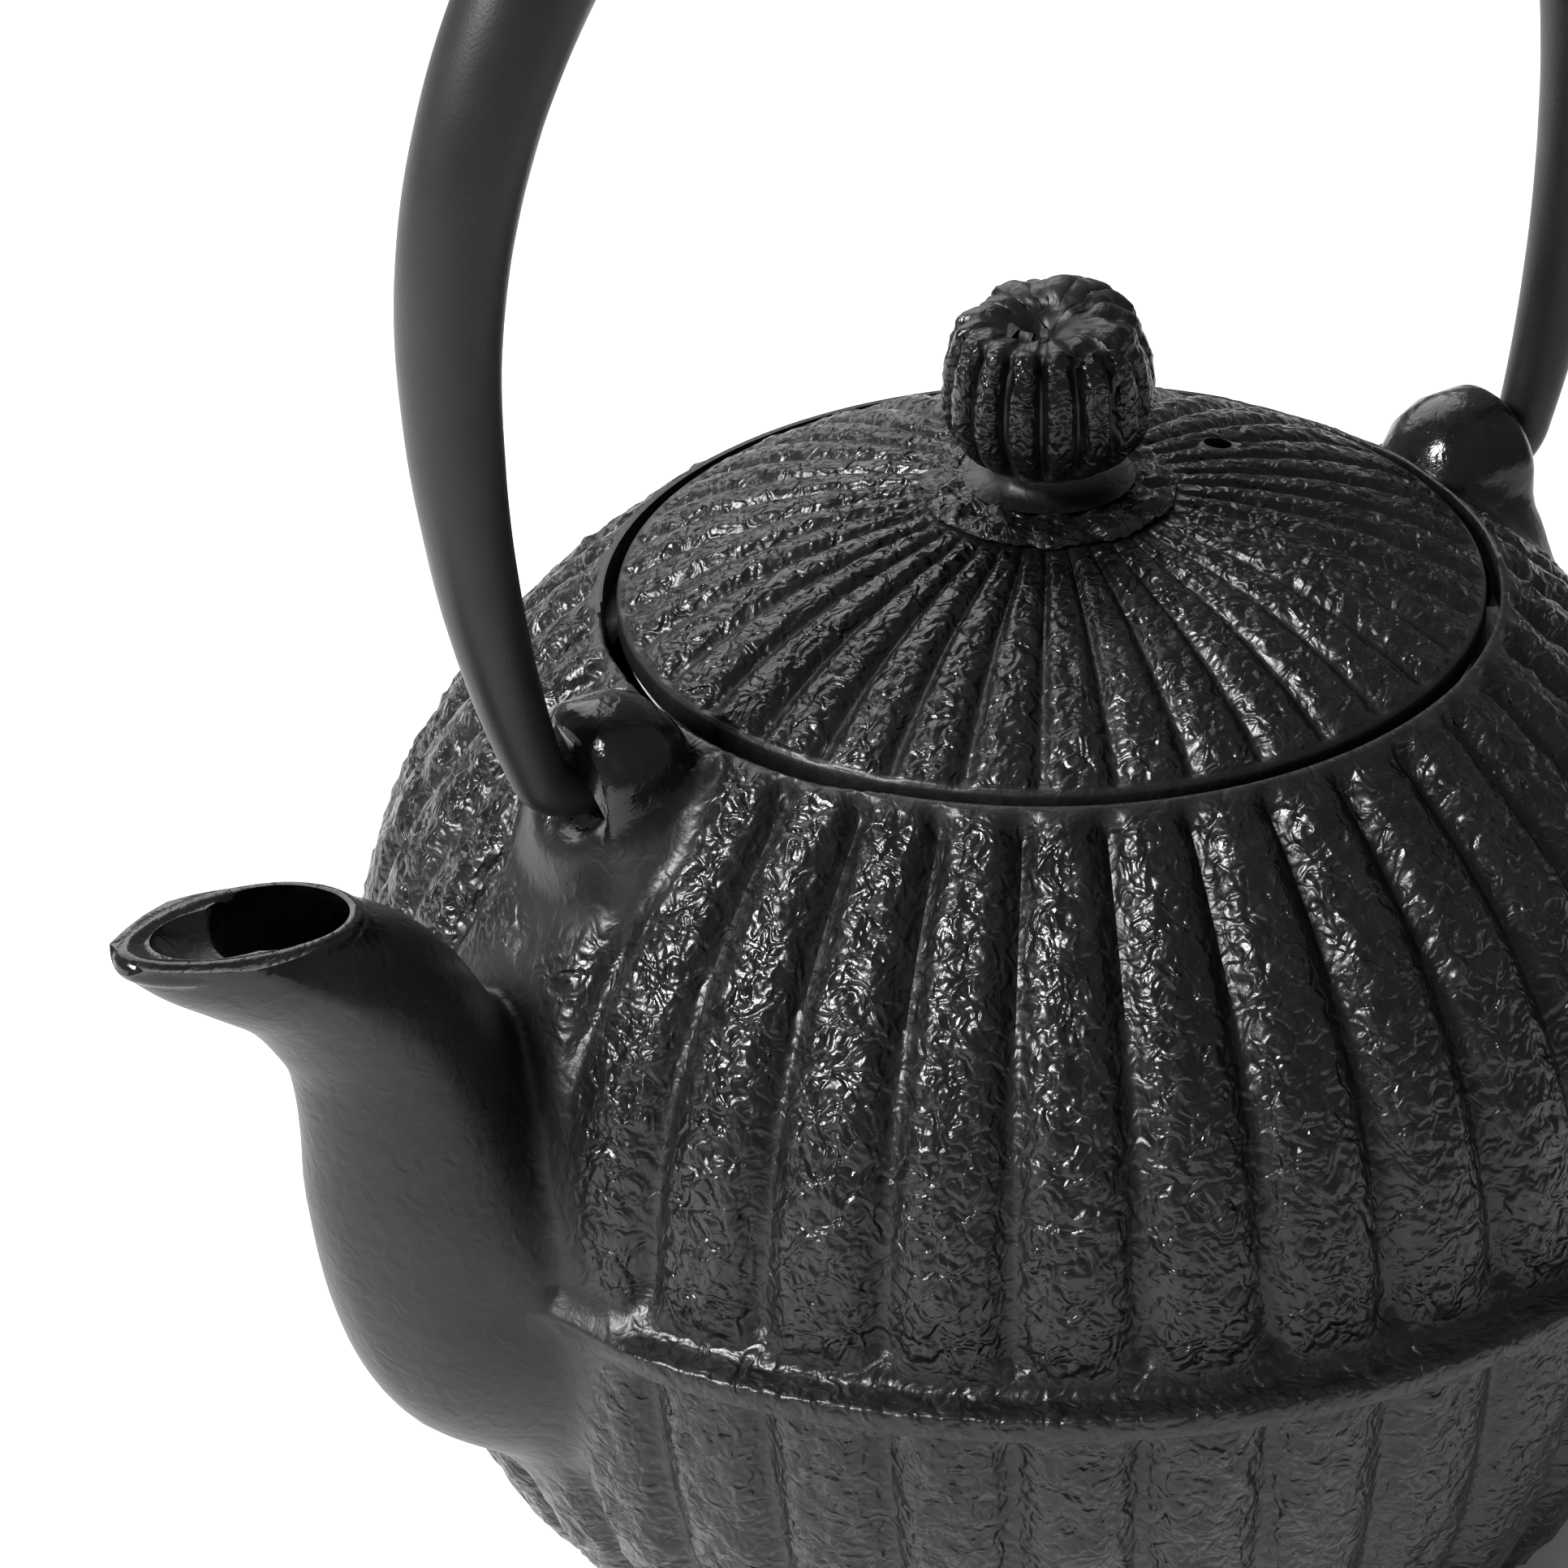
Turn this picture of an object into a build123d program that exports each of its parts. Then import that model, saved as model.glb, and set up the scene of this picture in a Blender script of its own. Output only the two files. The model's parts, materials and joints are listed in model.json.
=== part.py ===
from build123d import *
from math import asin, cos, degrees, hypot, radians, sin
import os

# Cast iron teapot with a bail handle, a knobbed lid and a hanging infuser basket, in millimetres.
# Frame: origin at the centre of the foot, on the surface that the pot stands on. +Z is up, +X points to the spout.
# Every round piece turns about the Z axis. The handle's hinge line runs along X, through both lugs.

# Pot
mouth_radius = 44.0
mouth_height = 101.2
belly_radius = 70.9
belt_radius = 74.9
belt_low, belt_high = 50.8, 53.4
wall = 3.2
foot_radius = 44.0
foot_width = 6.0
foot_recess = 1.6
ledge_height = 97.6
neck_radius = 41.7
neck_length = 5.0
lining_thickness = 0.5

# Lugs and hinge
hinge_height = 97.9
lug_x = 53.2
lug_thickness = 7.4
lug_radius = 8.0
lug_rounding = 2.4
lug_hole_width, lug_hole_height = 7.4, 8.6
lug_hole_inner_x = 49.9

# Handle
arch_radius = 67.35
arch_height = 144.0
leg_foot_x, leg_foot_z = 60.3, 101.0
bend_radius = 4.6
tip_x = 50.5
rod_at_tip, rod_at_top = 5.6, 14.0
taper_power = 1.85

# Lid
lid_radius = 42.6
lid_edge_low, lid_edge_high = 98.8, 101.6
lid_top = 112.1
lid_thickness = 2.8
boss_radius = 13.4
boss_top = 111.5
skirt_outer, skirt_inner, skirt_low = 38.6, 36.4, 91.5
vent_radius, vent_x = 1.4, -20.7
stem_radius = 3.0
stem_gap = 0.05

# Knob
knob_radius = 10.4
knob_low, knob_wide, knob_high = 115.6, 123.0, 130.6
knob_neck_radius = 5.3
seat_radius, seat_top = 12.8, 113.6

# Infuser
rim_radius = 43.5
rim_thickness = 0.8
basket_radius = 40.2
basket_foot_radius = 36.0
sheet = 0.6
collar_low = 88.0
basket_low = 43.0
base_ring_height = 4.0


def revolved(*edges):
    """Closes the outline with a straight line and turns it about the Z axis."""
    line = Wire(edges)
    if not line.is_closed:
        line = Wire([*edges, Line(line @ 1, line @ 0)])
    return revolve(Plane.XZ.from_local_coords(make_face(line)), Axis.Z)


def solid_cylinder(radius, low, high):
    return Pos(0, 0, low) * Cylinder(radius, high - low, align=(Align.CENTER, Align.CENTER, Align.MIN))


def tube(radius, inner, low, high):
    return solid_cylinder(radius, low, high) - solid_cylinder(inner, low, high)


def upper_curve(inset):
    """The shoulder's outline from the belt up to the mouth, set in by a wall's thickness."""
    slope = (0.62 * inset, 0.78 * inset)
    return Bezier(
        (belly_radius - inset, belt_high),
        (belly_radius - inset, belt_high + 22.6),
        (60.2 - slope[0], 89.0 - slope[1]),
        (mouth_radius + 0.9 - slope[0], mouth_height - slope[1]),
    )


def lower_curve(inset):
    """The bowl's outline from the belt down to the foot, set in by a wall's thickness."""
    return Bezier(
        (belly_radius + 0.8 - inset, belt_low),
        (belly_radius - 0.1 - inset, 34.7),
        (65.6 - 0.7 * inset, 5.1 + 0.7 * inset),
        (foot_radius, inset),
    )


def bowl(inset):
    """The solid that fills the pot up to the mouth, set in by a wall's thickness."""
    upper = upper_curve(inset)
    lower = lower_curve(inset)
    return revolved(
        Line((0, inset), (foot_radius, inset)),
        lower,
        Line(lower @ 0, upper @ 0),
        upper,
        Line(upper @ 1, (0, (upper @ 1).Y)),
        Line((0, (upper @ 1).Y), (0, inset)),
    )


def spout_section(x, z, heading, half_depth, half_width):
    """An oval across the spout. The heading is its direction above the horizontal, in degrees."""
    across = (-sin(radians(heading)), 0, cos(radians(heading)))
    along = (cos(radians(heading)), 0, sin(radians(heading)))
    return Plane(origin=(x, 0, z), x_dir=across, z_dir=along) * Ellipse(half_depth, half_width)


# The spout's centre line, its heading and its outer half depth and half width, from the root to the lip.
spout_stations = [
    (58.0, 26.0, 90, 8.0, 8.0),
    (66.0, 40.0, 90, 12.5, 12.5),
    (69.5, 52.0, 90, 14.0, 14.0),
    (72.5, 64.0, 90, 12.8, 12.6),
    (75.0, 74.0, 86, 10.5, 10.8),
    (78.0, 82.0, 66, 8.2, 9.8),
    (85.6, 89.2, 38, 6.8, 9.4),
    (102.0, 100.9, 35, 7.6, 7.6),
]

# The bore inside it is drilled in straight runs: each point's place, and the radius of the run that reaches it.
bore_points = [(64.0, 44.0), (73.6, 60.0), (76.2, 77.0), (84.0, 88.2), (112.0, 108.2)]
bore_radii = [8.0, 6.5, 4.8, 4.8]


def spout_solid():
    return loft([spout_section(*station) for station in spout_stations])


def spout_bore():
    bore = Part()
    for (x, z), (next_x, next_z), radius in zip(bore_points, bore_points[1:], bore_radii):
        run = Vector(next_x - x, 0, next_z - z)
        drill = Cylinder(radius, run.length, align=(Align.CENTER, Align.CENTER, Align.MIN))
        bore += Plane(origin=(x, 0, z), z_dir=run) * drill + Pos(x, 0, z) * Sphere(radius)
    return bore


def lip_cutter():
    """Everything above the spout's mouth, which rises a little towards the lip."""
    lip = Plane(origin=(82, 0, 94.6), x_dir=(24.3, 0, 2.3), z_dir=(-2.3, 0, 24.3))
    return lip * Pos(12, 0, 20) * Box(60, 40, 40)


def lug(side):
    """An ear that stands on the shoulder, with its hole along the hinge line."""
    ear = Plane.YZ.offset(lug_x - lug_thickness / 2) * (
        Pos(0, hinge_height) * Circle(lug_radius) + Pos(0, hinge_height - lug_radius) * Rectangle(2 * lug_radius, 2 * lug_radius)
    )
    ear = extrude(ear, lug_thickness)
    ear = fillet(ear.edges().filter_by(GeomType.CIRCLE), lug_rounding)
    return ear if side > 0 else ear.rotate(Axis.Z, 180)


def lug_hole(side):
    oval = Ellipse(lug_hole_width / 2, lug_hole_height / 2)
    hole = extrude(Plane.YZ.offset(lug_hole_inner_x) * Pos(0, hinge_height) * oval, 2 * lug_thickness)
    return hole if side > 0 else hole.rotate(Axis.Z, 180)


def cavity(coat):
    """The hollow of the bowl and of the neck above it, inside a coat of the given thickness."""
    ceiling = ledge_height - neck_length - coat
    collar = tube(belt_radius, neck_radius - coat, ceiling, mouth_height + 1)
    neck = solid_cylinder(neck_radius - coat, ceiling - 1, mouth_height)
    return bowl(wall + coat) - collar + neck


def pot_wall():
    """The turned wall of the pot from the floor to the mouth, without its belt, with every hole in it."""
    shell = bowl(0) - cavity(0) - solid_cylinder(mouth_radius, ledge_height, mouth_height + 1)
    return shell - spout_bore() - lug_hole(1) - lug_hole(-1)


def belt_ring():
    """The flange round the pot where its two halves meet, with the wall behind it."""
    ring = Polyline(
        (belly_radius + 0.8 - wall, belt_low),
        (belt_radius, belt_low),
        (belt_radius, belt_high),
        (belly_radius - wall, belt_high),
        close=True,
    )
    return revolve(Plane.XZ.from_local_coords(make_face(ring)), Axis.Z)


# The pot is one casting. It is divided where its shapes meet face to face, and all its pieces are on one body.


def make_pot_floor():
    return solid_cylinder(foot_radius, 0, wall) - solid_cylinder(foot_radius - foot_width, 0, foot_recess)


def make_pot_bowl():
    above = solid_cylinder(2 * belt_radius, belt_low, 2 * mouth_height)
    return pot_wall() - above - solid_cylinder(foot_radius, 0, wall)


def make_pot_belt():
    return belt_ring() - spout_bore()


def make_pot_shoulder():
    return pot_wall() - solid_cylinder(2 * belt_radius, 0, belt_high)


def make_spout():
    return spout_solid() - lip_cutter() - bowl(0) - belt_ring() - spout_bore()


def make_lug_left():
    return lug(-1) - bowl(0) - lug_hole(-1)


def make_lug_right():
    return lug(1) - bowl(0) - lug_hole(1)


def make_lining():
    """The enamel coat of the inside, below the ledge."""
    coat = cavity(0) - cavity(lining_thickness)
    coat -= solid_cylinder(mouth_radius, ledge_height, mouth_height + 1)
    return coat - spout_bore()


def leg_turn():
    """How far the handle's leg leans at its foot, in degrees."""
    run_x, run_z = arch_radius - leg_foot_x, arch_height - leg_foot_z
    return 2 * degrees(asin(run_x / hypot(run_x, run_z)))


def handle_station(length):
    """The point and the heading of the handle's centre line, and its diameter, at a length above the bend."""
    lean = leg_turn()
    leg_radius = (arch_height - leg_foot_z) / sin(radians(lean))
    leg_length = leg_radius * radians(lean)
    half_length = leg_length + arch_radius * radians(90)
    if length < leg_length:
        turn = radians(lean) - length / leg_radius
        x = arch_radius - leg_radius * (1 - cos(turn))
        z = arch_height - leg_radius * sin(turn)
        heading = 90 - degrees(turn)
    else:
        turn = (length - leg_length) / arch_radius
        x = arch_radius * cos(turn)
        z = arch_height + arch_radius * sin(turn)
        heading = 90 + degrees(turn)
    left = max(0.0, 1 - length / half_length)
    diameter = rod_at_tip + (rod_at_top - rod_at_tip) * (1 - left**taper_power)
    return x, z, heading, diameter, half_length


def half_handle():
    half_length = handle_station(0)[4]
    count = 12
    circles = []
    for i in range(count + 1):
        x, z, heading, diameter, _ = handle_station(half_length * i / count)
        along = (cos(radians(heading)), 0, sin(radians(heading)))
        circles.append(Plane(origin=(x, 0, z), x_dir=(0, 1, 0), z_dir=along) * Circle(diameter / 2))
    leg = loft(circles)
    lean = radians(leg_turn())
    centre = (leg_foot_x - bend_radius * cos(lean), leg_foot_z + bend_radius * sin(lean))
    straight = Line((tip_x, 0, centre[1] - bend_radius), (centre[0], 0, centre[1] - bend_radius))
    halfway = (lean + radians(90)) / 2
    middle = (centre[0] + bend_radius * cos(halfway), 0, centre[1] - bend_radius * sin(halfway))
    bend = ThreePointArc(straight @ 1, middle, (leg_foot_x, 0, leg_foot_z))
    profile = Plane(origin=straight @ 0, z_dir=(1, 0, 0)) * Circle(rod_at_tip / 2)
    return leg + sweep(profile, path=Wire([straight, bend]))


def make_handle():
    half = half_handle()
    return half + half.rotate(Axis.Z, 180)


def make_lid():
    dome = Bezier((0, lid_top), (20.8, lid_top), (34.1, 107.5), (lid_radius - 0.8, lid_edge_high + 0.6))
    under = Bezier((0, lid_top - lid_thickness), (20.0, lid_top - lid_thickness), (32.0, 104.2), (skirt_inner, 101.0))
    plate = revolved(
        dome,
        Line(dome @ 1, (lid_radius, lid_edge_high - 0.4)),
        Line((lid_radius, lid_edge_high - 0.4), (lid_radius, lid_edge_low)),
        Line((lid_radius, lid_edge_low), (skirt_outer, lid_edge_low)),
        Line((skirt_outer, lid_edge_low), (skirt_outer, skirt_low)),
        Line((skirt_outer, skirt_low), (skirt_inner, skirt_low)),
        Line((skirt_inner, skirt_low), under @ 1),
        under,
        Line(under @ 0, dome @ 0),
    )
    above_boss = solid_cylinder(boss_radius, boss_top, lid_top + 1)
    stem_hole = Pos(0, 0, lid_top) * Cylinder(stem_radius, 20)
    vent = Pos(vent_x, 0, lid_top) * Cylinder(vent_radius, 20)
    return plate - above_boss - stem_hole - vent


def make_knob_seat():
    """The petal collar: a low dished ring between the lid and the knob's neck."""
    ring = revolved(
        Line((stem_radius, boss_top), (seat_radius, boss_top)),
        ThreePointArc((seat_radius, boss_top), (seat_radius - 0.9, seat_top - 0.4), (seat_radius - 3.6, seat_top)),
        Line((seat_radius - 3.6, seat_top), (stem_radius, seat_top)),
    )
    return ring


def make_knob():
    """The melon head on its flared neck, with the stem through the lid peened over underneath."""
    shaft = stem_radius - stem_gap
    peened_high = lid_top - lid_thickness - 0.2
    peened_low = peened_high - 1.5
    return revolved(
        Line((0, peened_low), (3.4, peened_low)),
        ThreePointArc((3.4, peened_low), (4.2, peened_low + 0.4), (4.6, peened_high)),
        Line((4.6, peened_high), (shaft, peened_high)),
        Line((shaft, peened_high), (shaft, seat_top)),
        Line((shaft, seat_top), (8.0, seat_top)),
        Bezier((8.0, seat_top), (5.6, seat_top), (knob_neck_radius, knob_low - 1), (knob_neck_radius, knob_low)),
        Bezier((knob_neck_radius, knob_low), (8.6, 116.4), (knob_radius, 119.4), (knob_radius, knob_wide)),
        Bezier((knob_radius, knob_wide), (knob_radius, 127.4), (8.9, knob_high), (6.8, knob_high)),
        Bezier((6.8, knob_high), (5.2, knob_high), (3.0, knob_high - 2.6), (0, knob_high - 2.6)),
        Line((0, knob_high - 2.6), (0, peened_low)),
    )


def make_infuser_rim():
    """The flange that hangs on the pot's ledge, with the plain collar turned down from it."""
    flange = tube(rim_radius, basket_radius - sheet, ledge_height, ledge_height + rim_thickness)
    return flange + tube(basket_radius, basket_radius - sheet, collar_low, ledge_height)


def make_infuser_wall():
    outer = Line((basket_foot_radius, basket_low + base_ring_height), (basket_radius, collar_low))
    return revolved(
        outer,
        Line(outer @ 1, (basket_radius - sheet, collar_low)),
        Line((basket_radius - sheet, collar_low), (basket_foot_radius - sheet, basket_low + base_ring_height)),
    )


def make_infuser_base_ring():
    return tube(basket_foot_radius, basket_foot_radius - sheet, basket_low, basket_low + base_ring_height)


def make_infuser_floor():
    return solid_cylinder(basket_foot_radius - sheet, basket_low, basket_low + sheet)


nodes = {
    "pot_floor": make_pot_floor,
    "pot_bowl": make_pot_bowl,
    "pot_belt": make_pot_belt,
    "pot_shoulder": make_pot_shoulder,
    "spout": make_spout,
    "lug_left": make_lug_left,
    "lug_right": make_lug_right,
    "enamel_lining": make_lining,
    "handle": make_handle,
    "lid": make_lid,
    "lid_knob": make_knob,
    "knob_seat": make_knob_seat,
    "infuser_rim": make_infuser_rim,
    "infuser_wall": make_infuser_wall,
    "infuser_base_ring": make_infuser_base_ring,
    "infuser_floor": make_infuser_floor,
}

os.makedirs("parts", exist_ok=True)
for name, make in nodes.items():
    export_step(make(), f"parts/{name}.step")
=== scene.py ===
import json
import math

import bpy
from mathutils import Matrix, Vector

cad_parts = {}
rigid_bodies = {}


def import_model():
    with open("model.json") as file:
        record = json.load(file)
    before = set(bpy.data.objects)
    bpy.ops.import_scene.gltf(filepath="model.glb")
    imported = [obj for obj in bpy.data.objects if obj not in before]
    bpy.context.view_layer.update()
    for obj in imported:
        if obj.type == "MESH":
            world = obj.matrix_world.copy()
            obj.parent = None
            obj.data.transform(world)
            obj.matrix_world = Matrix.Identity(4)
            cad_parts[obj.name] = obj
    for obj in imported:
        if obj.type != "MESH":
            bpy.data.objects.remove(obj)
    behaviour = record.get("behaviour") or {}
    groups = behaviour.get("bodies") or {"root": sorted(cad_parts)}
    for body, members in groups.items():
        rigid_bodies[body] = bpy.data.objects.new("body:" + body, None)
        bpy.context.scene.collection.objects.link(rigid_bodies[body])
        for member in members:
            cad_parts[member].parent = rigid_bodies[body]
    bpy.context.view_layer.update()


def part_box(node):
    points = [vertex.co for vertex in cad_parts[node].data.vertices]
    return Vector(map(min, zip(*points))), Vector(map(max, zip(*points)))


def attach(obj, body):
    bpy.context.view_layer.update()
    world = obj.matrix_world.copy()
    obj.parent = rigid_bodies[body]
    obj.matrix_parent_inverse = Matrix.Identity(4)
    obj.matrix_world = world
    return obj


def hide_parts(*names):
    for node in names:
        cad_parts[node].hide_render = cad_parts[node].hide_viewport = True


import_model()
print("frame loaded")

# Outlines and sizes are in millimetres, in the frame of the parts, and mm turns them into metres.
mm = 0.001
ribCount = 36


def deselectAll():
    if bpy.context.object and bpy.context.object.mode != "OBJECT":
        bpy.ops.object.mode_set(mode="OBJECT")
    bpy.ops.object.select_all(action="DESELECT")


def startEdit(piece, kind="VERT"):
    deselectAll()
    piece.select_set(True)
    bpy.context.view_layer.objects.active = piece
    bpy.context.tool_settings.mesh_select_mode = [kind == k for k in ("VERT", "EDGE", "FACE")]
    bpy.ops.object.mode_set(mode="EDIT")


def editFaces(piece, chosen):
    # edit mode opens with only the chosen faces selected
    deselectAll()
    for vertex in piece.data.vertices:
        vertex.select = False
    for edge in piece.data.edges:
        edge.select = False
    for face in piece.data.polygons:
        face.select = chosen(face)
    startEdit(piece, "FACE")


def applyModifiers(piece):
    deselectAll()
    piece.select_set(True)
    bpy.context.view_layer.objects.active = piece
    for modifier in list(piece.modifiers):
        bpy.ops.object.modifier_apply(modifier=modifier.name)


def placeInMesh(piece):
    deselectAll()
    piece.select_set(True)
    bpy.context.view_layer.objects.active = piece
    bpy.ops.object.transform_apply(location=True, rotation=True, scale=True)


def smoothShade(piece, angle=40):
    deselectAll()
    piece.select_set(True)
    bpy.context.view_layer.objects.active = piece
    bpy.ops.object.shade_smooth_by_angle(angle=math.radians(angle))


def curvePoints(start, startPull, endPull, end, count):
    points = []
    for i in range(count + 1):
        t = i / count
        a, b, c, d = (1 - t) ** 3, 3 * t * (1 - t) ** 2, 3 * t * t * (1 - t), t ** 3
        points.append(tuple(a * p + b * q + c * r + d * s for p, q, r, s in zip(start, startPull, endPull, end)))
    return points


def smoothStep(low, high, value):
    t = min(1.0, max(0.0, (value - low) / (high - low)))
    return t * t * (3 - 2 * t)


def lathe(name, outline, columns):
    # one vertex is drawn along the outline, and the line is spun about Z
    deselectAll()
    bpy.ops.mesh.primitive_plane_add(size=0.01)
    piece = bpy.context.object
    piece.name = piece.data.name = name
    startEdit(piece)
    bpy.ops.mesh.select_all(action="SELECT")
    bpy.ops.mesh.merge(type="CENTER")
    here = Vector((outline[0][0] * mm, 0, outline[0][1] * mm))
    bpy.ops.transform.translate(value=here)
    for radius, height in outline[1:]:
        there = Vector((radius * mm, 0, height * mm))
        bpy.ops.mesh.extrude_region_move(TRANSFORM_OT_translate={"value": there - here})
        here = there
    bpy.ops.mesh.select_all(action="SELECT")
    bpy.ops.mesh.spin(steps=columns, angle=2 * math.pi, center=(0, 0, 0), axis=(0, 0, 1))
    bpy.ops.mesh.select_all(action="SELECT")
    bpy.ops.mesh.remove_doubles(threshold=0.00001)
    bpy.ops.mesh.normals_make_consistent(inside=False)
    bpy.ops.object.mode_set(mode="OBJECT")
    return piece


def combine(piece, other, operation):
    modifier = piece.modifiers.new("join", "BOOLEAN")
    modifier.object = other
    modifier.operation = operation
    modifier.solver = "MANIFOLD"
    applyModifiers(piece)
    bpy.data.objects.remove(other)


def keepAttribute(piece, name, values):
    attribute = piece.data.attributes.new(name, "FLOAT", "POINT")
    attribute.data.foreach_set("value", values)


def displace(piece, group, depth, texture=None, middle=0.0):
    modifier = piece.modifiers.new(group, "DISPLACE")
    modifier.vertex_group = group
    modifier.strength = depth * mm
    modifier.mid_level = middle
    if texture:
        modifier.texture = texture
        modifier.texture_coords = "LOCAL"
    applyModifiers(piece)


def cloudTexture(name, size, depth, basis, contrast=1.0):
    texture = bpy.data.textures.new(name, "CLOUDS")
    texture.noise_scale = size * mm
    texture.noise_depth = depth
    texture.noise_basis = basis
    texture.contrast = contrast
    return texture


# camera and light
view = {
    "turn": 53.57,  # degrees from the spout's side towards +Y
    "reach": 622.1,
    "height": 430.8,
    "tiltDown": 29.538,
    "roll": -0.587,
    "aside": -0.03746,
    "above": 0.0005,
    "lens": 164.6,
}


def addCamera():
    turn, tilt, roll = (math.radians(view[key]) for key in ("turn", "tiltDown", "roll"))
    inward = Vector((-math.cos(turn), -math.sin(turn), 0))
    up = Vector((0, 0, 1))
    right = inward.cross(up)
    forward = inward * math.cos(tilt) - up * math.sin(tilt)
    upright = inward * math.sin(tilt) + up * math.cos(tilt)
    rolledRight = right * math.cos(roll) + upright * math.sin(roll)
    rolledUp = upright * math.cos(roll) - right * math.sin(roll)
    forward = (forward + rolledRight * view["aside"] + rolledUp * view["above"]).normalized()
    rolledRight = (rolledRight - forward * rolledRight.dot(forward)).normalized()
    rolledUp = rolledRight.cross(forward)
    place = -inward * view["reach"] * mm + up * view["height"] * mm
    columns = Matrix((rolledRight, rolledUp, -forward)).transposed()
    deselectAll()
    bpy.ops.object.camera_add()
    camera = bpy.context.object
    camera.name = "camera"
    camera.data.lens = view["lens"]
    camera.data.sensor_width = 36
    camera.data.clip_start = 0.01
    camera.matrix_world = Matrix.Translation(place) @ columns.to_4x4()
    bpy.context.scene.camera = camera


studio = {
    # each light: degrees round from the spout, degrees up, metres away, metres across, watts
    "world": 0.26,
    "key": {"turn": -9, "rise": 42, "reach": 1.1, "size": 0.26, "power": 26},
    "back": {"turn": -100, "rise": 36, "reach": 1.5, "size": 1.2, "power": 12},
    "viewTransform": "Standard",
}


def addLight(name, turn, rise, reach, size, power):
    turn, rise = math.radians(turn), math.radians(rise)
    direction = Vector((math.cos(turn) * math.cos(rise), math.sin(turn) * math.cos(rise), math.sin(rise)))
    deselectAll()
    bpy.ops.object.light_add(type="AREA", location=direction * reach + Vector((0, 0, 0.09)))
    light = bpy.context.object
    light.name = name
    light.data.size = size
    light.data.energy = power
    light.rotation_euler = direction.to_track_quat("Z", "Y").to_euler()


def addStudio():
    world = bpy.data.worlds.new("studio")
    world.use_nodes = True
    background = world.node_tree.nodes["Background"]
    background.inputs["Color"].default_value = (1, 1, 1, 1)
    background.inputs["Strength"].default_value = studio["world"]
    bpy.context.scene.world = world
    bpy.context.scene.view_settings.view_transform = studio["viewTransform"]
    addLight("keyLight", **studio["key"])
    addLight("backLight", **studio["back"])
    deselectAll()
    bpy.ops.mesh.primitive_plane_add(size=6)
    floor = bpy.context.object
    floor.name = "floor"
    paper = bpy.data.materials.new("whiteSweep")
    paper.use_nodes = True
    shader = paper.node_tree.nodes["Principled BSDF"]
    shader.inputs["Base Color"].default_value = (0.93, 0.93, 0.93, 1)
    shader.inputs["Roughness"].default_value = 0.9
    floor.data.materials.append(paper)


# finishes: each builder makes one material from nodes on Object coordinates, sizes in millimetres
def newFinish(name, color, roughness, metallic=0.0):
    finish = bpy.data.materials.new(name)
    finish.use_nodes = True
    shader = finish.node_tree.nodes["Principled BSDF"]
    shader.inputs["Base Color"].default_value = (*color, 1)
    shader.inputs["Roughness"].default_value = roughness
    shader.inputs["Metallic"].default_value = metallic
    shader.inputs["Specular IOR Level"].default_value = 0.5 if metallic else 0.3
    return finish, finish.node_tree, shader


def link(tree, source, output, target, socket):
    tree.links.new(source.outputs[output], target.inputs[socket])


def addNoise(tree, coords, size, detail=3.0, roughness=0.55, distortion=0.0):
    node = tree.nodes.new("ShaderNodeTexNoise")
    node.inputs["Scale"].default_value = 1 / (size * mm)
    node.inputs["Detail"].default_value = detail
    node.inputs["Roughness"].default_value = roughness
    node.inputs["Distortion"].default_value = distortion
    link(tree, coords, "Object", node, "Vector")
    return node


def addRange(tree, source, output, low, high, toLow, toHigh):
    node = tree.nodes.new("ShaderNodeMapRange")
    node.inputs["From Min"].default_value = low
    node.inputs["From Max"].default_value = high
    node.inputs["To Min"].default_value = toLow
    node.inputs["To Max"].default_value = toHigh
    link(tree, source, output, node, "Value")
    return node


def addBump(tree, height, output, strength, distance, under=None):
    node = tree.nodes.new("ShaderNodeBump")
    node.inputs["Strength"].default_value = strength
    node.inputs["Distance"].default_value = distance * mm
    link(tree, height, output, node, "Height")
    if under:
        link(tree, under, "Normal", node, "Normal")
    return node


def addMath(tree, operation, first, firstOutput, second, secondOutput=None):
    node = tree.nodes.new("ShaderNodeMath")
    node.operation = operation
    link(tree, first, firstOutput, node, 0)
    if secondOutput:
        link(tree, second, secondOutput, node, 1)
    else:
        node.inputs[1].default_value = second
    return node


def addBlend(tree, factor, output, dark, light):
    node = tree.nodes.new("ShaderNodeMix")
    node.data_type = "RGBA"
    node.inputs["A"].default_value = (*dark, 1)
    node.inputs["B"].default_value = (*light, 1)
    link(tree, factor, output, node, "Factor")
    return node


ironLook = {
    # dark and light are the two ends of the painted shade blend in castingFinish: dark in the bump's pits, light on
    # its raised tops
    "dark": (0.0032, 0.0032, 0.0036),
    "light": (0.0075, 0.0075, 0.0083),
    "skinRough": (0.2, 0.34),
    "smoothRough": 0.43,
    "polishRough": 0.13,
}


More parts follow.
